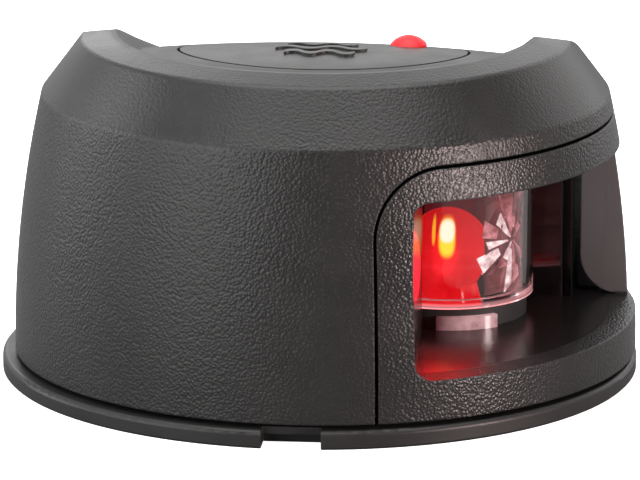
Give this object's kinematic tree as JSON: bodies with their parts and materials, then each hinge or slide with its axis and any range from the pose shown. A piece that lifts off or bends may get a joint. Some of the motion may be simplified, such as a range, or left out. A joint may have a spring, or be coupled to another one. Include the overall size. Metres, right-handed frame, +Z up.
{
  "type": "navigation light",
  "caption": "Low round deck-mounted port sidelight with a lift-off dished cover, a side window, a red LED lamp inside and a red tell-tale on top.",
  "frame": {"origin": "centre of the base flange's underside, on the deck plane", "axes": "+Z up from the deck, -Y towards the bow, +X to port, where the window is"},
  "size_m": [0.092, 0.0918, 0.0495],
  "materials": {
    "cover_plastic": "satin",
    "badge_plastic": "satin",
    "frame_plastic": "satin",
    "base_plastic": "satin",
    "gloss_black": "gloss",
    "clear_acrylic": "gloss",
    "red_acrylic": "gloss",
    "black_rubber": "matte",
    "black_foam": "matte",
    "stainless": "satin",
    "aluminium": "satin",
    "white_board": "gloss",
    "green_board": "gloss",
    "emitter": "gloss",
    "component_black": "satin",
    "terminal_plastic": "satin",
    "wire_jacket": "satin",
    "adhesive": "matte"
  },
  "bodies": {
    "base": {"base_plate": "base_plastic", "deck_gasket": "black_foam", "cover_seal": "black_rubber", "screw_bushes": "stainless", "cable_grommet": "black_rubber", "window_frame": "frame_plastic", "outer_lens": "clear_acrylic", "lens_foot": "clear_acrylic", "lens_seal": "black_rubber", "lens_top_seal": "black_rubber", "red_optic": "red_acrylic", "facet_prism": "clear_acrylic", "led_post": "aluminium", "heat_spreader": "aluminium", "led_board": "white_board", "led_emitter": "emitter", "stern_baffle": "gloss_black", "frame_screws": "stainless", "driver_board": "green_board", "driver_screws": "stainless", "driver_inductor": "component_black", "driver_capacitors": "aluminium", "driver_chip": "component_black", "supply_terminal": "terminal_plastic", "lamp_plug": "terminal_plastic", "lamp_leads": "wire_jacket"},
    "cover": {"top_cover": "cover_plastic", "badge_plate": "badge_plastic", "badge_pad": "adhesive", "telltale_lens": "red_acrylic", "telltale_pipe": "clear_acrylic"}
  },
  "joints": [
    {"name": "cover_lift", "type": "slide", "parent": "base", "child": "cover", "axis": [0, 0, 1], "range_m": [0, 0.06]}
  ]
}
